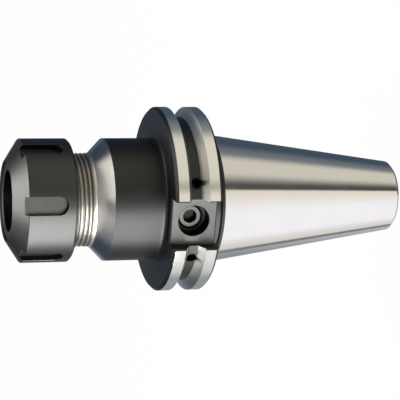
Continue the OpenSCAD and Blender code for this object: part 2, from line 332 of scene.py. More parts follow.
def thread_steel(name, colour, crest):
    """Cut thread: bright on its crests, with cutting marks and painted shade in its roots."""
    made, maker, place, radius, _ = turned_metal(name)
    cloud = noise(maker, place, 240.0, 4.0)
    marks = noise(maker, stretched(maker, place, (900.0, 900.0, 5200.0)), 1.0, 3.0, 0.6)
    out_of_root_shade = (radius + (cloud - 0.5) * 0.00025).rise(crest - 0.00085, crest - 0.0001)
    bright = marks.rise(0.3, 0.7).blend(toned(colour, 0.92), colour)
    # Painted shade: the roots at 0.3 of the thread's colour
    base = out_of_root_shade.blend(toned(colour, 0.30), bright)
    shine = 0.34 + (marks - 0.5) * 0.12 + (1 - out_of_root_shade) * 0.12
    close_material(maker, base, shine, marks, 0.20, 0.3)
    return made


def slot_black(name, colour):
    """Straight cutter marks under the black coat, a fraction of a millimetre apart."""
    made, maker, place, *_ = turned_metal(name)
    marks = noise(maker, stretched(maker, place, (60.0, 60.0, 1600.0)), 1.0, 4.0, 0.65)
    cloud = noise(maker, place, 160.0, 4.0)
    tone = cloud.rise(0.3, 0.7) * 0.6 + marks.rise(0.3, 0.7) * 0.4
    base = tone.blend(toned(colour, 0.88), toned(colour, 1.06))
    shine = 0.42 + (marks - 0.5) * 0.14 + cloud.rise(0.4, 0.8) * 0.05
    close_material(maker, base, shine, marks, 0.30)
    return made


def wire_steel(name, colour):
    """Drawn wire: faint lines along its length, oil-dark in places."""
    made, maker, place, radius, z = turned_metal(name)
    drawn = turned_lines(maker, radius, z, 9.0, 3.0, 0.55)
    cloud = noise(maker, place, 300.0, 3.0)
    base = cloud.rise(0.35, 0.7).blend(toned(colour, 0.8), colour)
    close_material(maker, base, 0.26 + drawn * 0.10, drawn, 0.15)
    return made


def finishes():
    """Every finish by name, made once: its maker, its colour and the maker's other values."""
    wanted = bpy.context.scene.chuck_finish
    crest = bpy.context.scene.chuck_holder.thread_radius
    rows = {
        "ground_steel": (ground_steel, wanted.ground, 0.12, 0.10, 0.5),
        "rim_steel": (ground_steel, wanted.rim, 0.165, 0.12, 0.0),
        # Painted shade: the V-groove's ground walls at 0.9 of the rims' level
        "groove_steel": (ground_steel, toned(wanted.rim, 0.90), 0.30, 0.15, 0.0),
        "turned_steel": (ground_steel, wanted.ground, 0.22, 0.15, 0.75),
        "thread_steel": (thread_steel, wanted.thread, crest),
        "back_steel": (ground_steel, toned(wanted.ground, 0.90), 0.60, 0.20, 0.0),
        # Painted shade: ground steel at 0.55 of its level inside the bores
        "bore_steel": (ground_steel, toned(wanted.ground, 0.55), 0.34, 0.25, 0.5),
        "blackened_steel": (blackened_steel, wanted.black, 0.42),
        "nut_black": (blackened_steel, wanted.nut, 0.42),
        "slot_black": (slot_black, wanted.slot),
        # Painted shade: the black coat darkened where shade falls in pockets, holes, sockets and wrench
        # slots
        "hole_black": (blackened_steel, wanted.hole, 0.50),
        "plug_steel": (ground_steel, wanted.plug, 0.34, 0.15, 0.5),
        "ring_steel": (ground_steel, wanted.ring, 0.40, 0.20, 0.5),
        "spring_wire": (wire_steel, wanted.wire),
    }
    return {
        name: bpy.data.materials.get(name + "_finish") or maker(name, *values)
        for name, (maker, *values) in rows.items()
    }


def soft_outline(corners):
    """Closed outline from corners (radius, height, rounding) in millimetres, some without rounding.

    Each rounded corner becomes an arc between two guard points, which keep the flats beside it flat.
    """
    made = []
    count = len(corners)
    for index, (across, height, *rounding) in enumerate(corners):
        here = Vector((across, height))
        if not rounding:
            made.append(here)
            continue
        before = Vector(corners[index - 1][:2]) - here
        after = Vector(corners[(index + 1) % count][:2]) - here
        # Less than half of the shorter side, which leaves room for the next corner's arc
        room = 0.45 * min(before.length, after.length)
        before.normalize()
        after.normalize()
        opening = before.angle(after)
        reach = min(rounding[0] / math.tan(opening / 2), room)
        radius = reach * math.tan(opening / 2)
        centre = here + (before + after).normalized() * (radius / math.sin(opening / 2))
        first = here + before * reach - centre
        sweep = first.angle_signed(here + after * reach - centre)
        steps = max(2, math.ceil(abs(sweep) / math.radians(24)))
        guard = min(reach + 0.5 * radius, room * 1.05)
        made.append(here + before * guard)
        made += [centre + Matrix.Rotation(-sweep * step / steps, 2) @ first for step in range(steps + 1)]
        made.append(here + after * guard)
    return made


def arc(centre, radius, first, last, steps):
    """Points on an arc from its first to its last turn, in degrees."""
    turns = [math.radians(first + (last - first) * step / steps) for step in range(steps + 1)]
    return [(centre[0] + radius * math.cos(turn), centre[1] + radius * math.sin(turn)) for turn in turns]


def loop_mesh(name, points):
    """Mesh that is one closed loop of edges, in metres, with the radius on X and the height on Z."""
    made = bpy.data.meshes.new(name)
    edges = [(i, (i + 1) % len(points)) for i in range(len(points))]
    made.from_pydata([(p[0] * MM, 0, p[1] * MM) for p in points], edges, [])
    return made


def new_mesh(name, work):
    """Mesh from the bmesh in which it was made."""
    made = bpy.data.meshes.new(name)
    work.to_mesh(made)
    work.free()
    return made


def new_object(name, data):
    """Object in the scene that carries a mesh, a lamp or a camera."""
    made = bpy.data.objects.new(name, data)
    bpy.context.scene.collection.objects.link(made)
    return made


def new_tree(title, build, values):
    """Geometry Nodes tree with an input for each value. It ends in real geometry with its finish."""
    tree = bpy.data.node_groups.new(title, "GeometryNodeTree")
    kinds = {label: "Int" if isinstance(value, int) else "Float" for label, value in values.items()}
    for label, kind in {"Geometry": "Geometry", **kinds, "Finish": "Material"}.items():
        tree.interface.new_socket(label, in_out="INPUT", socket_type="NodeSocket" + kind)
    tree.interface.new_socket("Geometry", in_out="OUTPUT", socket_type="NodeSocketGeometry")
    start = Signal(tree).node("NodeGroupInput")
    smooth = start.node("GeometryNodeSetShadeSmooth", {0: build(start)})
    real = start.node("GeometryNodeRealizeInstances", {0: smooth})
    sockets = {"Geometry": real, "Material": start.also("Finish")}
    start.node("NodeGroupOutput", {0: start.node("GeometryNodeSetMaterial", sockets)})
    return tree


def swept(start, path, section, caps=True):
    """Section swept along a path."""
    sockets = {"Curve": path, "Profile Curve": section, "Fill Caps": caps}
    return start.node("GeometryNodeCurveToMesh", sockets)


def moved(start, geometry, change, amount):
    """Geometry with a change, which is Translation or Rotation."""
    return start.node("GeometryNodeTransform", {"Geometry": geometry, change: amount})


def lifted(start, geometry):
    """Geometry moved up by the input Height."""
    lift = start.node("ShaderNodeCombineXYZ", {2: start.also("Height")})
    return moved(start, geometry, "Translation", lift)


def turned_tree(start):
    """Turns the outline round Z."""
    outline = start.node("GeometryNodeMeshToCurve", {0: start})
    middle = start.also("Middle radius")
    back = start.node("ShaderNodeCombineXYZ", {0: middle * -1.0})
    outline = moved(start, outline, "Translation", back)
    flat = moved(start, outline, "Rotation", (math.pi / 2, 0, 0))
    sockets = {"Resolution": start.also("Segments"), "Radius": middle}
    circle = start.node("GeometryNodeCurvePrimitiveCircle", sockets)
    upright = start.node("GeometryNodeSetCurveNormal", {0: circle}, mode="Z_UP")
    sockets = {"Geometry": swept(start, upright, flat, caps=False), "Distance": 1e-7}
    return start.node("GeometryNodeMergeByDistance", sockets)


def thread_tree(start):
    """Sweeps the tooth outline along a right-hand helix round Z."""
    tooth = start.node("GeometryNodeMeshToCurve", {0: start})
    flat = moved(start, tooth, "Rotation", (-math.pi / 2, 0, 0))
    turns, radius = start.also("Turns"), start.also("Radius")
    path = {
        "Resolution": start.also("Steps per turn"),
        "Rotations": turns,
        "Start Radius": radius,
        "End Radius": radius,
        "Height": turns * start.also("Pitch"),
        "Reverse": True,
    }
    helix = start.node("GeometryNodeCurveSpiral", path)
    upright = start.node("GeometryNodeSetCurveNormal", {0: helix}, mode="Z_UP")
    return lifted(start, swept(start, upright, flat))


def ring_of_cuts_tree(start):
    """Repeats the cutter round Z."""
    count = start.also("Count")
    points = start.node("GeometryNodePoints", {"Count": count, "Position": (0, 0, 0)})
    index = start.node("GeometryNodeInputIndex")
    turn = index * (2 * math.pi) / count + start.also("First turn")
    rotation = start.node("ShaderNodeCombineXYZ", {2: turn})
    sockets = {"Points": points, "Instance": start, "Rotation": rotation}
    return start.node("GeometryNodeInstanceOnPoints", sockets)


def wire_tree(start):
    """Open round wire bent to an arc round Z."""
    sweep = 2 * math.pi - start.also("Opening")
    path = {"Resolution": 160, "Radius": start.also("Radius"), "Start Angle": 0.0, "Sweep Angle": sweep}
    bend = start.node("GeometryNodeCurveArc", path, mode="RADIUS")
    sockets = {"Resolution": 20, "Radius": start.also("Thickness") * 0.5}
    section = start.node("GeometryNodeCurvePrimitiveCircle", sockets)
    return lifted(start, swept(start, bend, section))


def worked_mesh(carrier):
    """What an object's modifiers make, without doubles and loose edges and with its faces outwards."""
    graph = bpy.context.evaluated_depsgraph_get()
    made = bpy.data.meshes.new_from_object(carrier.evaluated_get(graph))
    carrier.modifiers.clear()
    work = bmesh.new()
    work.from_mesh(made)
    bmesh.ops.remove_doubles(work, verts=work.verts, dist=MERGE_WITHIN)
    bmesh.ops.dissolve_degenerate(work, edges=work.edges, dist=MERGE_WITHIN)
    bmesh.ops.delete(work, geom=[e for e in work.edges if not e.link_faces], context="EDGES")
    bmesh.ops.delete(work, geom=[v for v in work.verts if not v.link_faces], context="VERTS")
    bmesh.ops.recalc_face_normals(work, faces=work.faces)
    work.to_mesh(made)
    work.free()
    made.update()
    return made


def grown(name, mesh, title, build, values, finish=None):
    """Runs a tree on a mesh and gives the plain mesh that comes out."""
    carrier = new_object(name + "_carrier", mesh)
    modifier = carrier.modifiers.new("grow", "NODES")
    tree = bpy.data.node_groups.get(title) or new_tree(title, build, values)
    modifier.node_group = tree
    if finish:
        values["Finish"] = finish
    for item in tree.interface.items_tree:
        if item.in_out == "INPUT" and item.name in values:
            modifier[item.identifier] = values[item.name]
    made = worked_mesh(carrier)
    made.name = name
    bpy.data.objects.remove(carrier)
    return made


def turned(name, corners, segments=SEGMENTS, middle=20.0):
    """Piece turned from a closed outline in millimetres."""
    outline = loop_mesh(name + "_outline", soft_outline(corners))
    values = {"Segments": segments, "Middle radius": middle * MM}
    return grown(name, outline, "Turned piece", turned_tree, values)


def thread_piece(name, tooth, radius, pitch, heights, steps, finish):
    """Mesh of a helical tooth between two heights, in millimetres, with its finish."""
    values = {
        "Radius": radius * MM,
        "Pitch": pitch * MM,
        "Turns": (heights[1] - heights[0]) / pitch,
        "Steps per turn": steps,
        "Height": heights[0] * MM,
    }
    return grown(name, loop_mesh(name + "_tooth", tooth), "Thread", thread_tree, values, finish)


def layered(name, layers, place):
    """Closed mesh over layers of equally many points, put in place by a matrix. Millimetres."""
    work = bmesh.new()
    rings = [[work.verts.new(point) for point in layer] for layer in layers]
    for low, high in zip(rings, rings[1:]):
        for i in range(len(low)):
            j = (i + 1) % len(low)
            work.faces.new((low[i], low[j], high[j], high[i]))
    work.faces.new(rings[0])
    work.faces.new(rings[-1])
    bmesh.ops.transform(work, matrix=Matrix.Scale(MM, 4) @ place, verts=work.verts)
    bmesh.ops.recalc_face_normals(work, faces=work.faces)
    return new_mesh(name, work)


def prism(name, section, low, high, place):
    """Closed prism over a section, from low to high, put in place by a matrix. Millimetres."""
    return layered(name, [[(*point, level) for point in section] for level in (low, high)], place)


def revolved(name, corners, place, segments=96, tip=0.0):
    """Solid turned about its own axis and put in place by a matrix, with a tip under its first corner."""
    corners = [(0.0, corners[0][1] - tip), *corners, (0.0, corners[-1][1])]
    made = turned(name, corners, segments, middle=4.0)
    made.transform(Matrix.Translation(place.translation * MM) @ place.to_3x3().to_4x4())
    return made


def radial_place(turn):
    """Place of a hole that points at the axis in the middle of the groove, at a turn round it."""
    upright = Matrix.Translation((0, 0, GROOVE_Z)) @ Matrix.Rotation(math.pi / 2, 4, "X")
    return Matrix.Rotation(turn, 4, "Z") @ upright


def cut(mesh, cutters):
    """Takes the cutters out of the mesh, one after the other.

    Stops the script if that leaves an open edge or less than half of the faces.
    """
    body = new_object("work_in_hand", mesh)
    faces_before = len(mesh.polygons)
    for cutter_mesh in cutters:
        cutter = new_object("cutter", cutter_mesh)
        modifier = body.modifiers.new("cut", "BOOLEAN")
        modifier.operation = "DIFFERENCE"
        modifier.solver = "EXACT"
        modifier.object = cutter
        body.data = worked_mesh(body)
        bpy.data.objects.remove(cutter)
    made = body.data
    bpy.data.objects.remove(body)
    work = bmesh.new()
    work.from_mesh(made)
    open_edges = sum(1 for edge in work.edges if not edge.is_manifold)
    work.free()
    faces = len(made.polygons)
    if open_edges or faces < faces_before / 2:
        raise RuntimeError(f"{mesh.name}: {open_edges} open edges and {faces} faces after its cuts")
    return made


def dress(mesh, names, rule):
    """Gives each face the finish that rule picks from its middle (in millimetres) and its direction."""
    made = finishes()
    mesh.materials.clear()
    for name in names:
        mesh.materials.append(made[name])
    for face in mesh.polygons:
        face.material_index = names.index(rule(face.center / MM, face.normal))


def settle(name, mesh, body, replaced=(), sharp=38):
    """Turns a mesh into a smooth piece that rides on a body. Edges past the angle sharp stay sharp."""
    mesh.name = name
    mesh.shade_smooth()
    mesh.set_sharp_from_angle(angle=math.radians(sharp))
    piece = new_object(name, mesh)
    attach(piece, body)
    if replaced:
        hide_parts(*replaced)


def taper_r(z):
    """Radius of the taper at a height, in millimetres."""
    return GAUGE_R + z * TAPER_SLOPE


def holder_outline(sizes):
    """Outline of the holder with its bores, anticlockwise from the small end."""
    rim = sizes.flange_radius / MM
    body = sizes.body_radius / MM
    crest = sizes.thread_radius / MM
    root = crest - THREAD_DEPTH
    edge = sizes.edge_break / MM
    flare = (rim - GROOVE_FLOOR_R) * math.tan(math.radians(30))
    low_wall, high_wall = GROOVE_Z - GROOVE_HALF, GROOVE_Z + GROOVE_HALF
    return [
        (taper_r(TAPER_END) - 1.0, TAPER_END, edge),
        (taper_r(TAPER_END + 1.0), TAPER_END + 1.0, edge * 1.5),
        (taper_r(BLACK_TAPER_FROM), BLACK_TAPER_FROM),
        (taper_r(0.275), 0.275, edge * 0.5),
        (RELIEF_R, 0.9, 0.25),
        (RELIEF_R, FLANGE_BACK, 0.3),
        (rim - RIM_BREAK, FLANGE_BACK, edge * 0.5),
        (rim, FLANGE_BACK + RIM_BREAK, edge * 0.3),
        (rim, low_wall - flare),
        (GROOVE_FLOOR_R, low_wall, 0.35),
        (GROOVE_FLOOR_R, high_wall, 0.35),
        (rim, high_wall + flare),
        (rim, FLANGE_FRONT - RIM_BREAK, edge * 0.3),
        (rim - RIM_BREAK, FLANGE_FRONT, edge * 0.5),
        (body, FLANGE_FRONT, 1.2),
        (body, BODY_TOP, edge),
        (crest, THREAD_START, 0.3),
        (crest, THREAD_START + 0.9, edge * 0.6),
        (root, THREAD_START + 1.7, 0.2),
        (root, NOSE_Z - 0.5, edge),
        (crest - 1.3, NOSE_Z, edge),
        (SOCKET_MOUTH_R + 0.42, NOSE_Z, edge * 0.6),
        (SOCKET_MOUTH_R, NOSE_Z - 0.5, edge * 0.6),
        (SOCKET_END_R, SOCKET_END_Z, 0.15),
        (SHANK_R, SOCKET_END_Z),
        (SHANK_R, SHANK_END_Z, 0.2),
        (COOLANT_R, SHANK_END_Z - 2.4, 0.3),
        (COOLANT_R, STUD_END_Z + 1.15, 0.3),
        (STUD_CORE_R, STUD_END_Z, 0.3),
        (STUD_CORE_R, STUD_END_Z - 1.6),
        (STUD_R, STUD_END_Z - 2.2),
        (STUD_R, PILOT_END_Z),
        (PILOT_R, PILOT_END_Z, 0.2),
        (PILOT_R, TAPER_END + 0.7, 0.1),
        (PILOT_R + 0.7, TAPER_END, 0.1),
    ]


def slot_section(floor, rim):
    """Section across a drive slot, with rounded corners at its floor and broken edges at the rim."""
    rim_edge = math.sqrt(rim**2 - SLOT_HALF**2) - SLOT_BREAK
    right = arc((SLOT_HALF - SLOT_CORNER, floor + SLOT_CORNER), SLOT_CORNER, -90, 0, 8)
    right += [(SLOT_HALF, rim_edge), (SLOT_HALF + 4.0, rim_edge + 4.0)]
    return right + [(-across, out) for across, out in reversed(right)]


def slot_cutters(floor, rim, turn):
    """Cutters of one drive slot: the slot, its two end breaks, and the pocket with the plug's hole."""
    outwards = Matrix.Rotation(turn, 4, "Z") @ Matrix.Rotation(math.pi, 4, "Z")
    across = Matrix(((0, 0, 1, 0), (1, 0, 0, 0), (0, 1, 0, 0), (0, 0, 0, 1)))
    cutters = [prism("slot", slot_section(floor, rim), FLANGE_BACK - 1, FLANGE_FRONT + 1, outwards)]
    for end, lean in ((FLANGE_BACK, -1), (FLANGE_FRONT, 1)):
        wedge = [
            (floor + 1, end + lean * 1.0),
            (floor + 1, end - lean * (SLOT_END_BREAK + 1)),
            (floor - SLOT_END_BREAK - 1, end + lean * 1.0),
        ]
        cutters.append(prism("slot_end", wedge, -SLOT_HALF + 0.05, SLOT_HALF - 0.05, outwards @ across))
    pocket_floor = floor - POCKET_DEPTH
    hole_end = pocket_floor - PLUG_SINK - PLUG_LEN
    outline = [
        (CHANNEL_R, 4.0),
        (CHANNEL_R, hole_end),
        (PLUG_HOLE_R, hole_end),
        (PLUG_HOLE_R, pocket_floor - 0.25),
        (PLUG_HOLE_R + 0.25, pocket_floor),
        (POCKET_R, pocket_floor, 0.15),
        (POCKET_R, floor - 0.12),
        (POCKET_R + 1.12, floor + 1.0),
    ]
    return cutters + [revolved("pocket", outline, radial_place(turn))]


def balancing_cutter(turn):
    """Drill of a balancing hole in the floor of the groove."""
    heights = GROOVE_FLOOR_R - BALANCE_DEPTH, GROOVE_FLOOR_R + 1.6
    corners = [(BALANCE_R, height) for height in heights]
    return revolved("balancing_hole", corners, radial_place(turn), 64, tip=1.2)


def from_groove_middle(across, place):
    """Distance of a place from the middle line of the groove, across and along the axis."""
    return math.hypot(across, place.z - GROOVE_Z)


def holder_rule(rim, body, crest, balance_turn):
    """Which finish a face of the holder has: ground where a wheel has been, black elsewhere, painted shade
    in recesses.
    """

    def in_balancing_hole(place):
        for side in (-1, 1):
            turn = side * balance_turn
            across = place.x * math.cos(turn) + place.y * math.sin(turn)
            if place.y < 0 and from_groove_middle(across, place) < BALANCE_R + 0.06:
                return True
        return False

    def flange_finish(place, normal, r):
        outwards = (normal.x * place.x + normal.y * place.y) / r
        in_groove = abs(place.z - GROOVE_Z) < GROOVE_REACH and r > GROOVE_FLOOR_R + 0.2 and outwards > 0.2
        broken_edge = abs(normal.x) > 0.5 and abs(place.x) < SLOT_HALF + 0.9
        # Painted shade inside the bores
        if r < BORES_R:
            return "bore_steel"
        # Painted shade inside the balancing holes
        if in_balancing_hole(place):
            return "hole_black"
        if r > rim - 0.08 and outwards > 0.95:
            return "rim_steel"
        # Ground walls of the V-groove, with painted shade
        if in_groove and not broken_edge:
            return "groove_steel"
        # Painted shade in the pockets and the plug holes under them
        in_pocket = from_groove_middle(place.x, place) < POCKET_R + 0.06 and r < SLOT_FLOORS[0] - 0.04
        if in_pocket and (r < SLOT_FLOORS[1] - 0.1 or abs(normal.y) < 0.5 or place.y < 0):
            return "hole_black"
        on_floor = min(abs(-place.y - SLOT_FLOORS[0]), abs(place.y - SLOT_FLOORS[1])) < 0.6
        in_slot = abs(place.x) < SLOT_HALF + 0.02 and r < rim - 0.1
        if in_slot and (on_floor or abs(normal.x) > 0.3):
            return "slot_black"
        return "blackened_steel"

    def rule(place, normal):
        r = math.hypot(place.x, place.y)
        if FLANGE_BACK - 0.2 < place.z < FLANGE_FRONT + 0.2:
            return flange_finish(place, normal, r)
        if place.z <= FLANGE_BACK:
            # Painted shade inside the bores of the taper
            if r < taper_r(place.z) - 2.5:
                return "bore_steel"
            # A blackened band on the taper next to the flange, ground steel below it
            return "blackened_steel" if place.z > BLACK_TAPER_FROM else "ground_steel"
        if r > body - 0.12 and place.z < BODY_TOP - 0.02:
            return "blackened_steel"
        if r < SOCKET_MOUTH_R + 0.37 and place.z > SOCKET_END_Z - 0.1:
            return "ground_steel"
        if r > crest + 0.2 and place.z < THREAD_START + 0.2:
            return "turned_steel"
        # Inside BORES_R the steel has painted shade
        return "thread_steel" if r > BORES_R else "bore_steel"

    return rule


def tooth_outline(depth, crest, root, inwards=False):
    """Section of a thread tooth, crest wide at its tip and root wide at its foot, which is sunk in."""
    points = [(-TOOTH_SINK, root / 2), (0.0, root / 2)]
    points += [(depth - 0.03, crest / 2 + 0.02), (depth, crest / 2 - 0.03)]
    outline = [(across, -height) for across, height in points] + points[::-1]
    return [(-across, height) for across, height in outline] if inwards else outline


def hold_inside(mesh, limit):
    """Pulls each vertex in to limit(height), both in millimetres."""
    for vertex in mesh.vertices:
        r = math.hypot(vertex.co.x, vertex.co.y)
        most = limit(vertex.co.z / MM) * MM
        if r > most:
            vertex.co.x *= most / r
            vertex.co.y *= most / r


class CHUCK_OT_stage(Operator):
    """Makes the pale floor, the soft studio light and the camera"""

    bl_idname = "chuck.stage"
    bl_label = "Stage"

    def execute(self, context):
        sizes = context.scene.chuck_stage
        self.floor(sizes)
        self.studio_world(context)
        self.lamps()
        self.camera(context, sizes)
        context.scene.view_settings.view_transform = "Standard"
        return {"FINISHED"}

    def floor(self, sizes):
        """Pale floor that keeps shadows, is white to the camera and clear from below."""
        work = bmesh.new()
        bmesh.ops.create_circle(work, cap_ends=True, segments=96, radius=sizes.floor_radius)
        mesh = new_mesh("floor", work)
        mesh.transform(Matrix.Translation((0, 0, CAD_BOX[0][2] - 0.00002)))
        made, maker = new_material("pale_floor")
        ray = maker.node("ShaderNodeLightPath", out="Is Camera Ray")
        mirrored = maker.math("MAXIMUM", ray.also("Is Glossy Ray"), ray.also("Is Transmission Ray"))
        seen = maker.math("MAXIMUM", ray, mirrored)
        lit = maker.node("ShaderNodeBsdfDiffuse", {"Color": (0.86, 0.86, 0.86)})
        white = maker.node("ShaderNodeEmission", {"Color": WHITE, "Strength": 1.0})
        top = maker.node("ShaderNodeMixShader", {0: seen * 0.97, 1: lit, 2: white})
        clear = maker.node("ShaderNodeBsdfTransparent")
        under = maker.node("ShaderNodeNewGeometry", out="Backfacing")
        both = maker.node("ShaderNodeMixShader", {0: under, 1: top, 2: clear})
        maker.node("ShaderNodeOutputMaterial", {"Surface": both})
        mesh.materials.append(made)
        floor = new_object("floor", mesh)
        floor.visible_glossy = False

    def studio_world(self, context):
        """Soft studio round the object, which the steel mirrors.

        Turns are degrees round the axis from the camera's side, positive towards the picture's
        top. It is white low down on the picture's low side, warm above, and slate behind.
        """
        world = bpy.data.worlds.new("studio")
        world.use_nodes = True
        world.node_tree.nodes.clear()
        context.scene.world = world
        maker = Signal(world.node_tree)
        way = maker.node("ShaderNodeTexCoord", out="Generated")

        def along(direction):
            sockets = {0: way, 1: tuple(direction)}
            return maker.node("ShaderNodeVectorMath", sockets, out="Value", operation="DOT_PRODUCT")

        up, side, near = along(AXIS), along(PICTURE_UP), along(TOWARDS)
        turn = maker.math("ARCTAN2", side, near) * (180 / math.pi)
        # High side: a dark band beside the camera, a warm wall, and slate behind it
        slate = turn.rise(95, 128).blend((0.20, 0.22, 0.24), (0.060, 0.090, 0.130))
        warm = (1 - turn.rise(74, 97)).blend(slate, (0.75, 0.71, 0.61))
        high_side = turn.rise(23, 52).blend((0.085, 0.085, 0.08), warm)
        # Low side, steeply from below: white, then a thin dark line, then grey
        white = turn.rise(-35, 16).blend((1.13, 1.12, 1.17), (0.94, 0.87, 0.73))
        white = turn.rise(-109, -80).blend((0.86, 0.83, 0.79), white)
        low_side = turn.rise(-132, -127).blend((0.50, 0.515, 0.53), (0.20, 0.20, 0.19))
        low_side = turn.rise(-121, -116).blend(low_side, white)
        steep = turn.rise(14.0, 15.6).blend(low_side, high_side)
        # The same sides just under level, which the upright cylinders mirror
        level_low = turn.rise(-35, 5).blend((0.62, 0.62, 0.63), (0.82, 0.76, 0.68))
        level_low = turn.rise(-120, -100).blend((0.30, 0.32, 0.34), level_low)
        level = turn.rise(5, 11).blend(level_low, (0.42, 0.40, 0.35))
        level = turn.rise(15, 24).blend(level, warm)
        below = up.rise(-0.46, -0.36).blend(steep, level)
        # Roof: bright over the high side, navy over the low side
        low_roof = side.rise(-0.70, -0.48).blend((0.05, 0.065, 0.085), (0.42, 0.42, 0.40))
        low_roof = side.rise(-0.42, -0.16).blend(low_roof, (0.20, 0.20, 0.185))
        roof = (side - near * 0.56).rise(-0.175, -0.135).blend(low_roof, (0.98, 0.95, 0.88))
        far_wall = near.rise(-0.94, -0.86).blend((0.105, 0.15, 0.21), (0.045, 0.06, 0.08))
        grey_part = turn.rise(-122, -98) * (1 - turn.rise(-72, -48))
        wall = grey_part.blend(far_wall, (0.22, 0.24, 0.27))
        sky = up.rise(0.60, 0.76).blend(wall, roof)
        studio = up.rise(0.0, 0.16).blend(below, sky)
        ray = maker.node("ShaderNodeLightPath", out="Is Camera Ray")
        shown = maker.node("ShaderNodeBackground", {"Color": ray.blend(studio, WHITE), "Strength": 1.0})
        maker.node("ShaderNodeOutputWorld", {"Surface": shown})

    def lamps(self):
        """One softbox on the low side of the picture and one over the nut."""
        low_turn = math.radians(55.5)
        low = TOWARDS * math.cos(low_turn) - PICTURE_UP * math.sin(low_turn) - AXIS * 0.025
        size = 0.76, 0.11
        self.softbox("side", low, AXIS.cross(low), size, distance=0.60, radiance=23.0, height=0.02)
        high = TOWARDS * -0.29 + PICTURE_UP * 0.10 + AXIS * 0.95
        size = 0.48, 0.18
        self.softbox("top", high, PICTURE_UP, size, distance=0.70, radiance=14.0, height=0.065)

    def softbox(self, name, way, level, size, distance, radiance, height):
        """Rectangular lamp a distance away from a height on the axis, its long side along level."""
        way = way.normalized()
        level = (level - way * level.dot(way)).normalized()
        lamp = bpy.data.lights.new(name + "_softbox", "AREA")
        lamp.shape = "RECTANGLE"
        lamp.size, lamp.size_y = size
        lamp.energy = radiance * math.pi * size[0] * size[1]
        lamp.color = (1.0, 1.0, 0.98)
        place = Matrix.Translation(AXIS * height + way * distance)
        facing = Matrix((level, way.cross(level), way)).transposed().to_4x4()
        new_object(lamp.name, lamp).matrix_world = place @ facing

    def camera(self, context, sizes):
        """Camera at the photo's viewing angle."""
        rise, roll = sizes.elevation, sizes.roll
        away = TOWARDS * math.cos(rise) + AXIS * math.sin(rise)
        right = TOWARDS * math.sin(rise) - AXIS * math.cos(rise)
        x = right * math.cos(roll) - PICTURE_UP * math.sin(roll)
        y = right * math.sin(roll) + PICTURE_UP * math.cos(roll)
        lens = bpy.data.cameras.new("camera")
        lens.lens, lens.sensor_width, lens.shift_y = sizes.lens, 36.0, PICTURE_SHIFT
        lens.clip_start, lens.clip_end = 0.01, 20.0
        made = new_object("camera", lens)
        where = AXIS * CAMERA_AIM_Z + away * sizes.distance
        made.matrix_world = Matrix.Translation(where) @ Matrix((x, y, away)).transposed().to_4x4()
        context.scene.camera = made


class CHUCK_OT_holder(Operator):
    """Makes the turned, milled and ground holder with its taper, flange, slots and bores"""

    bl_idname = "chuck.holder"
    bl_label = "Holder body"

    def execute(self, context):
        sizes = context.scene.chuck_holder
        rim = sizes.flange_radius / MM
        body, crest = sizes.body_radius / MM, sizes.thread_radius / MM
        blank = turned("holder", holder_outline(sizes))
        cutters = []
        for floor, turn in zip(SLOT_FLOORS, SLOT_TURNS):
            cutters += slot_cutters(floor, rim, turn)
        cutters += [balancing_cutter(side * sizes.balance_turn) for side in (-1, 1)]
        mesh = cut(blank, cutters)
        names = ["ground_steel", "blackened_steel", "slot_black", "hole_black", "bore_steel"]
        names += ["rim_steel", "groove_steel", "turned_steel", "thread_steel"]
        dress(mesh, names, holder_rule(rim, body, crest, sizes.balance_turn))
        settle("holder_turned_body", mesh, "holder", ["holder_body"])
        return {"FINISHED"}


class CHUCK_OT_threads(Operator):
    """Makes the nut's thread on the holder and the pull stud's thread in its small end"""

    bl_idname = "chuck.threads"
    bl_label = "Holder threads"

    def execute(self, context):
        crest = context.scene.chuck_holder.thread_radius / MM
        steel = finishes()
        tooth = tooth_outline(THREAD_DEPTH, 0.19, 1.22)
        heights = THREAD_FOOT, NOSE_Z - 0.65
        root, finish = crest - THREAD_DEPTH, steel["thread_steel"]
        outer = thread_piece("nut_thread", tooth, root, THREAD_PITCH, heights, 96, finish)
        hold_inside(outer, lambda z: crest - max(0.0, z - (NOSE_Z - 1.3)))
        tooth = tooth_outline(1.08, 0.5, 1.72, inwards=True)
        heights = PILOT_END_Z + 1.0, STUD_END_Z - 2.6
        # The pull stud's thread in the bore has painted shade
        inner = thread_piece("stud_thread", tooth, STUD_R, STUD_PITCH, heights, 72, steel["bore_steel"])
        settle("holder_nut_thread", outer, "holder", sharp=30)
        settle("holder_stud_thread", inner, "holder", sharp=30)
        return {"FINISHED"}


class CHUCK_OT_plugs(Operator):
    """Makes the two hexagon socket set screws behind the slot floors"""

    bl_idname = "chuck.plugs"
    bl_label = "Plugs"

    def execute(self, context):
        tops = [floor - POCKET_DEPTH - PLUG_SINK for floor in SLOT_FLOORS]
        work = bmesh.new()
        for top, turn in zip(tops, SLOT_TURNS):
            work.from_mesh(self.screw(top, radial_place(turn)))
        mesh = new_mesh("plugs", work)

        def socket_or_face(place, normal):
            # Painted shade inside the hexagon sockets
            depth = tops[0] + place.y if place.y < 0 else tops[1] - place.y
            inside = from_groove_middle(place.x, place) < 2.36 and depth > 0.3
            return "hole_black" if inside else "plug_steel"

        dress(mesh, ["plug_steel", "hole_black"], socket_or_face)
        settle("hexagon_plugs", mesh, "holder", ["coolant_plugs"], sharp=30)
        return {"FINISHED"}

    def screw(self, top, place):
        """One set screw with its hexagon socket and the countersunk mouth of it."""
        blank = [
            (3.4, top - PLUG_LEN, 0.08),
            (PLUG_R, top - PLUG_LEN + 0.6, 0.1),
            (PLUG_R, top - 0.4, 0.1),
            (3.6, top, 0.1),
        ]
        hexagon = arc((0, 0), HEXAGON_HALF / math.cos(math.radians(30)), 0, 300, 5)
        socket = prism("plug_socket", hexagon, top - HEXAGON_DEPTH, top + 1, place)
        mouth = revolved("plug_mouth", [(1.95, top - 0.42), (3.37, top + 1)], place)
        return cut(revolved("plug", blank, place), [socket, mouth])


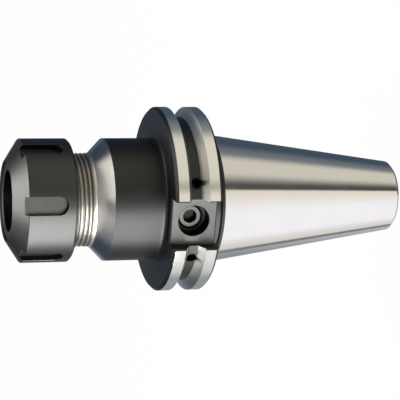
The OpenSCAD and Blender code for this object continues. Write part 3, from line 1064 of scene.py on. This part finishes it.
class CHUCK_OT_nut(Operator):
    """Makes the slotted clamping nut and its inner thread"""

    bl_idname = "chuck.nut"
    bl_label = "Clamping nut"

    def execute(self, context):
        sizes = context.scene.chuck_nut
        outer, back, front = sizes.radius / MM, sizes.back / MM, sizes.front / MM
        shoulder = RING_SHOULDER + 0.08
        outline = [
            (NUT_BORE_R + 1.0, back, 0.1),
            (outer - 0.8, back, 0.2),
            (outer, back + 0.8, 0.3),
            (outer, front - 4.5, 0.25),
            (NUT_FACE_R, front, 0.08),
            (NUT_FACE_R - 0.35, front, 0.08),
            (NUT_MOUTH_R, RING_FRONT, 0.1),
            (NUT_MOUTH_R, shoulder, 0.1),
            (NUT_ROOM_R, shoulder, 0.1),
            *arc((WIRE_R + 0.04, WIRE_Z), WIRE_GROOVE_R, 90, -90, 8),
            (NUT_ROOM_R, RING_BACK),
            (NUT_BORE_R, RING_BACK, 0.1),
            (NUT_BORE_R, back + 1.0, 0.1),
        ]
        mesh = cut(turned("nut", outline, middle=17.0), [self.slot_ring(sizes, outer, back, front)])

        def nut_rule(place, normal):
            r = math.hypot(place.x, place.y)
            outwards = (normal.x * place.x + normal.y * place.y) / r
            if place.z < back + 0.05 and normal.z < -0.9:
                return "back_steel"
            share = 2 * math.pi / sizes.slots
            turn = math.atan2(place.x, -place.y) - sizes.slot_turn
            across = abs(r * math.sin((turn + share / 2) % share - share / 2))
            # Painted shade on the wrench slots' side walls and round ends
            if across < sizes.slot_width / MM / 2 + 0.1 and r > 18 and abs(outwards) < 0.35:
                return "hole_black"
            return "slot_black" if r < outer - 0.6 and outwards > 0.95 else "nut_black"

        dress(mesh, ["nut_black", "slot_black", "hole_black", "back_steel"], nut_rule)
        settle("nut_slotted_body", mesh, "nut", ["clamping_nut"])
        tooth = tooth_outline(0.81, 0.375, 1.28, inwards=True)
        # Half a pitch off the holder's tooth, so that the two threads mesh
        heights = THREAD_FOOT + THREAD_PITCH * 4.5, RING_BACK - 0.75
        finish = finishes()["nut_black"]
        thread = thread_piece("inner_thread", tooth, NUT_BORE_R, THREAD_PITCH, heights, 96, finish)
        settle("nut_inner_thread", thread, "nut", sharp=30)
        return {"FINISHED"}

    def slot_ring(self, sizes, outer, back, front):
        """One cutter with a round end and broken edges, repeated round the nut."""
        half, floor = sizes.slot_width / MM / 2, sizes.slot_floor / MM
        middle = back + WRENCH_SLOT_FOOT + half
        ends = [(side * half, front + 2.0) for side in (-1, 1)]
        layers = [[], [], []]
        for across, height in [ends[0], *arc((0, middle), half, 180, 360, 24), ends[1]]:
            away = Vector((across, min(0.0, height - middle)))
            away = away.normalized() if away.length else Vector((math.copysign(1.0, across), 0.0))
            skin = math.sqrt(outer**2 - across**2) - WRENCH_SLOT_BREAK
            layers[0].append((across, -floor, height))
            layers[1].append((across, -skin, height))
            layers[2].append((across + away.x, -skin - 1.0, height + away.y))
        mesh = layered("wrench_slot", layers, Matrix.Identity(4))
        values = {"Count": sizes.slots, "First turn": sizes.slot_turn}
        return grown("wrench_slots", mesh, "Ring of cuts", ring_of_cuts_tree, values)


class CHUCK_OT_ring(Operator):
    """Makes the collet ring with its seat and its off-centre lip"""

    bl_idname = "chuck.ring"
    bl_label = "Collet ring"

    def execute(self, context):
        outline = [
            (RING_FOOT_R, RING_BACK),
            (RING_R, RING_BACK, 0.25),
            *arc((WIRE_R - 0.04, WIRE_Z), WIRE_GROOVE_R, -90, -270, 8),
            (RING_R, RING_SHOULDER, 0.12),
            (RING_HEAD_R, RING_SHOULDER, 0.15),
            (RING_HEAD_R, RING_FRONT, 0.2),
            (RING_MOUTH_R, RING_FRONT, 0.12),
            (RING_MOUTH_R, RING_FRONT - 0.4, 0.05),
            (SEAT_END_R, SEAT_END_Z, 0.05),
            (RING_ROOM_R, SEAT_END_Z, 0.1),
            (RING_ROOM_R, RING_BACK + 1.1, 0.1),
            (RING_FOOT_R, RING_BACK + 1.1),
        ]
        opening = [(LIP_R + 1.15, RING_BACK - 1), (LIP_R, RING_BACK + 0.15), (LIP_R, RING_BACK + 1.8)]
        lip = revolved("lip_opening", opening, Matrix.Translation((LIP_OFFSET, 0, 0)), 160)
        mesh = cut(turned("ring", outline, middle=12.0), [lip])
        dress(mesh, ["ring_steel"], lambda place, normal: "ring_steel")
        settle("collet_ring_turned", mesh, "ring", ["collet_ring"])
        return {"FINISHED"}


class CHUCK_OT_wire(Operator):
    """Makes the open round wire that keeps the collet ring in the nut"""

    bl_idname = "chuck.wire"
    bl_label = "Retaining wire"

    def execute(self, context):
        values = {
            "Radius": WIRE_R * MM,
            "Thickness": context.scene.chuck_nut.wire_thickness,
            "Height": WIRE_Z * MM,
            "Opening": WIRE_OPENING,
        }
        empty, finish = bpy.data.meshes.new("wire"), finishes()["spring_wire"]
        mesh = grown("wire", empty, "Bent wire", wire_tree, values, finish)
        settle("wire_ring", mesh, "nut", ["retaining_wire"])
        return {"FINISHED"}


class CHUCK_PT_panel(Panel):
    """Lists the pieces and their sizes"""

    bl_label = "Collet chuck holder"
    bl_idname = "CHUCK_PT_panel"
    bl_space_type = "VIEW_3D"
    bl_region_type = "UI"
    bl_category = "Chuck"

    def draw(self, context):
        for operator in OPERATORS:
            self.layout.operator(operator.bl_idname)
        for name, group in GROUPS.items():
            box = self.layout.box()
            box.label(text=group.__doc__)
            for prop in group.__annotations__:
                box.prop(getattr(context.scene, name), prop)


OPERATORS = (CHUCK_OT_stage, CHUCK_OT_holder, CHUCK_OT_threads, CHUCK_OT_plugs)
OPERATORS += (CHUCK_OT_nut, CHUCK_OT_ring, CHUCK_OT_wire)
CLASSES = (*GROUPS.values(), *OPERATORS, CHUCK_PT_panel)


def register():
    """Registers the classes and adds their sizes and colours to the scene."""
    for made in CLASSES:
        bpy.utils.register_class(made)
    for name, group in GROUPS.items():
        setattr(bpy.types.Scene, name, PointerProperty(type=group))


def unregister():
    """Takes away what register has added."""
    for name in GROUPS:
        delattr(bpy.types.Scene, name)
    for made in reversed(CLASSES):
        bpy.utils.unregister_class(made)


def main():
    """Makes the stage and every piece."""
    register()
    bpy.ops.chuck.stage()
    bpy.ops.chuck.holder()
    bpy.ops.chuck.threads()
    bpy.ops.chuck.plugs()
    bpy.ops.chuck.nut()
    bpy.ops.chuck.ring()
    bpy.ops.chuck.wire()


if __name__ == "__main__":
    main()
